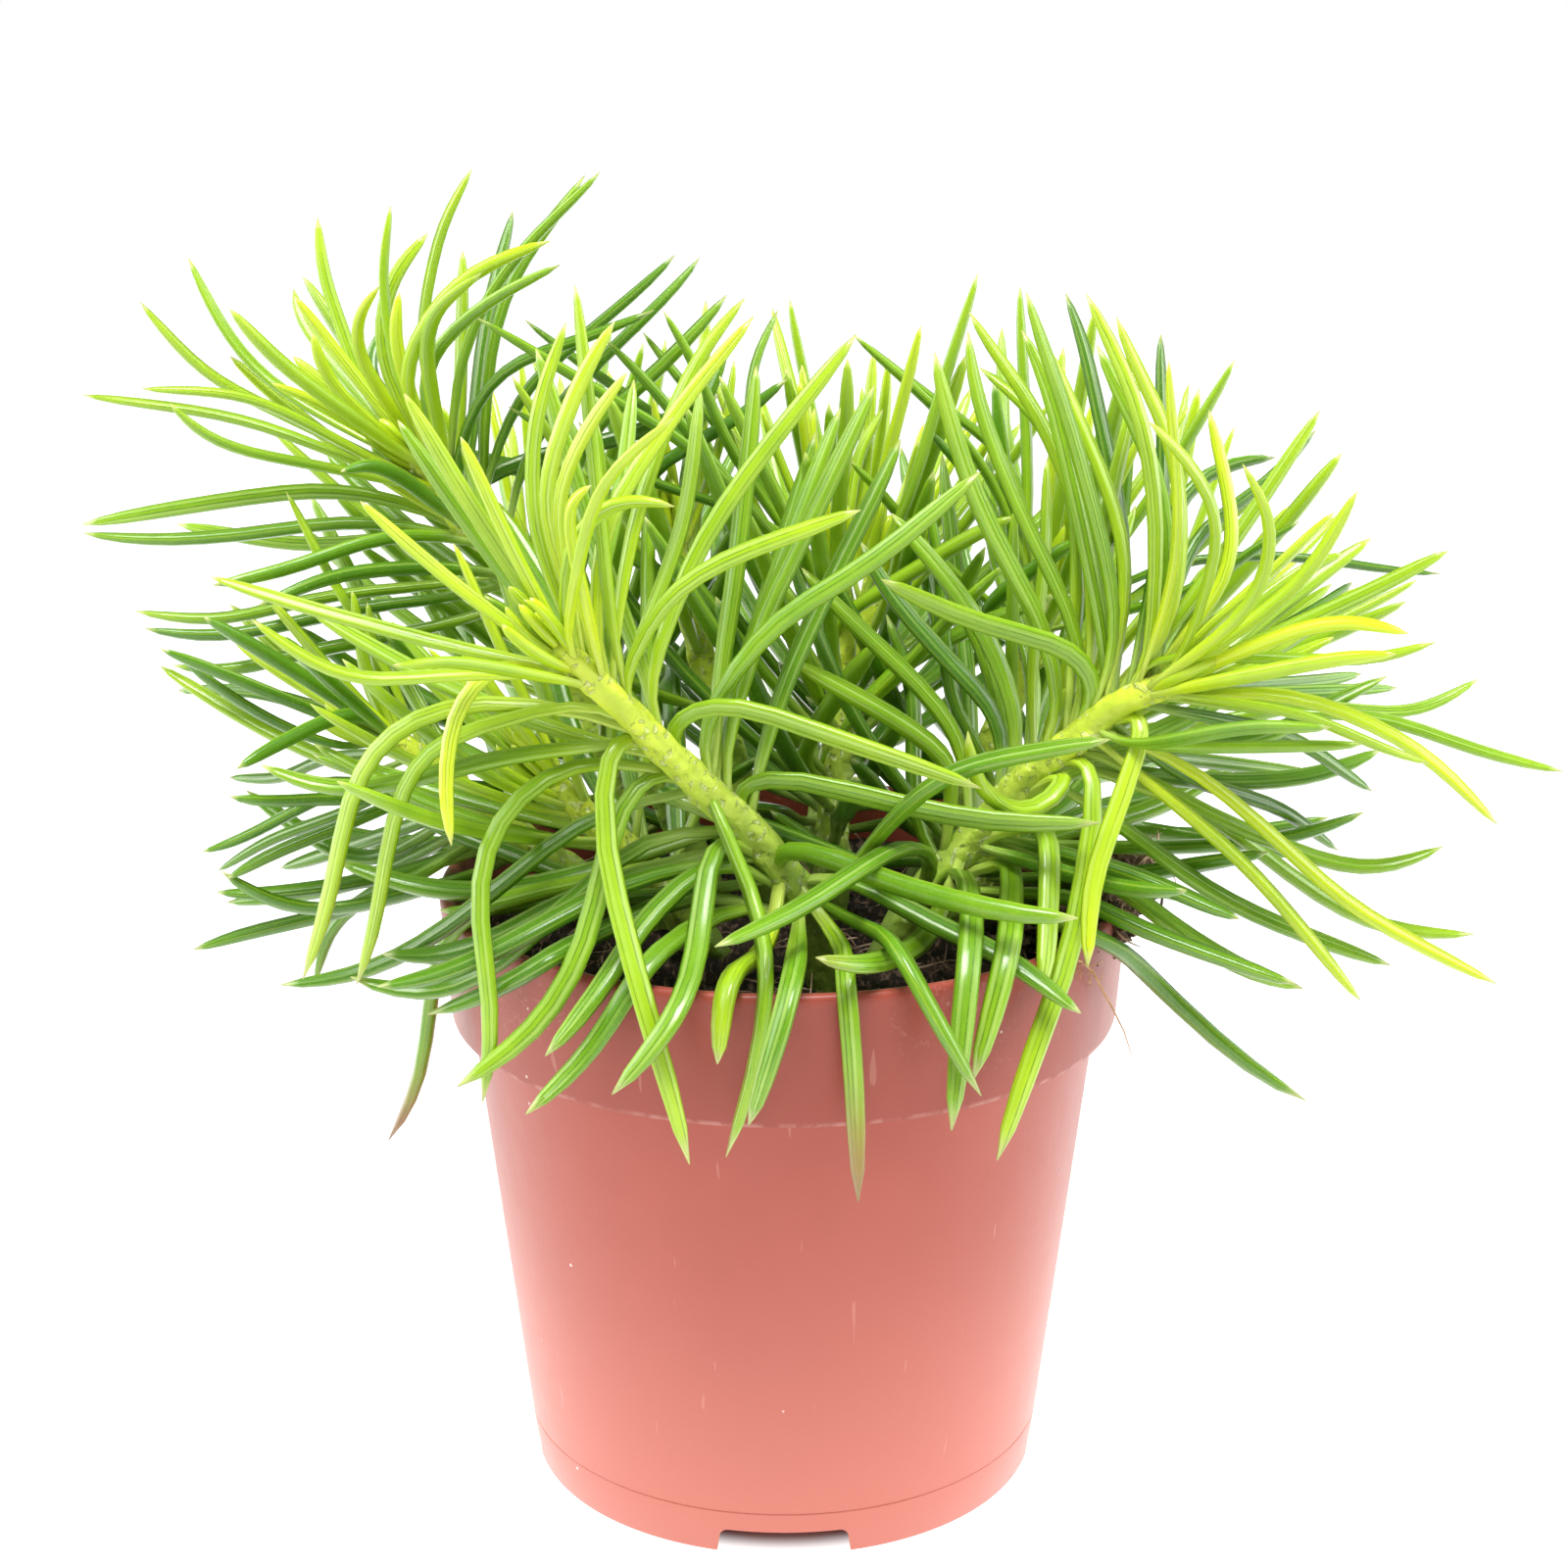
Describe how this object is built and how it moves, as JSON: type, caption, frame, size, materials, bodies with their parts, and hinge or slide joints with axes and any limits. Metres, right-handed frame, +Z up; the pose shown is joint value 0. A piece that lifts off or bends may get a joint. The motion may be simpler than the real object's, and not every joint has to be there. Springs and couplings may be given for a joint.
{
  "type": "potted senecio",
  "caption": "Potted succulent: leaning stems with curved finger-shaped leaves, in peat in a round terracotta-coloured plastic nursery pot.",
  "frame": {"origin": "on the pot's axis at the plane that the pot stands on, under the middle of the part's box", "axes": "+X to the right and +Y away from the viewer with the pot seen from the front, +Z up"},
  "size_m": [0.2484, 0.1647, 0.2279],
  "materials": {
    "pot": "satin terracotta-coloured plastic",
    "soil": "dark rough peat",
    "leaves": "smooth waxy leaf skin, yellow-green to dark green"
  },
  "bodies": {
    "root": {"pot": "pot", "soil": "soil", "shoot_front_left": "leaves", "shoot_left": "leaves", "shoot_right": "leaves", "shoot_low_left": "leaves", "shoot_centre": "leaves", "shoot_middle": "leaves", "shoot_back_right": "leaves", "shoot_back_left": "leaves", "shoot_back": "leaves", "shoot_far_right": "leaves", "shoot_low_front": "leaves", "shoot_low_right": "leaves"}
  },
  "joints": []
}
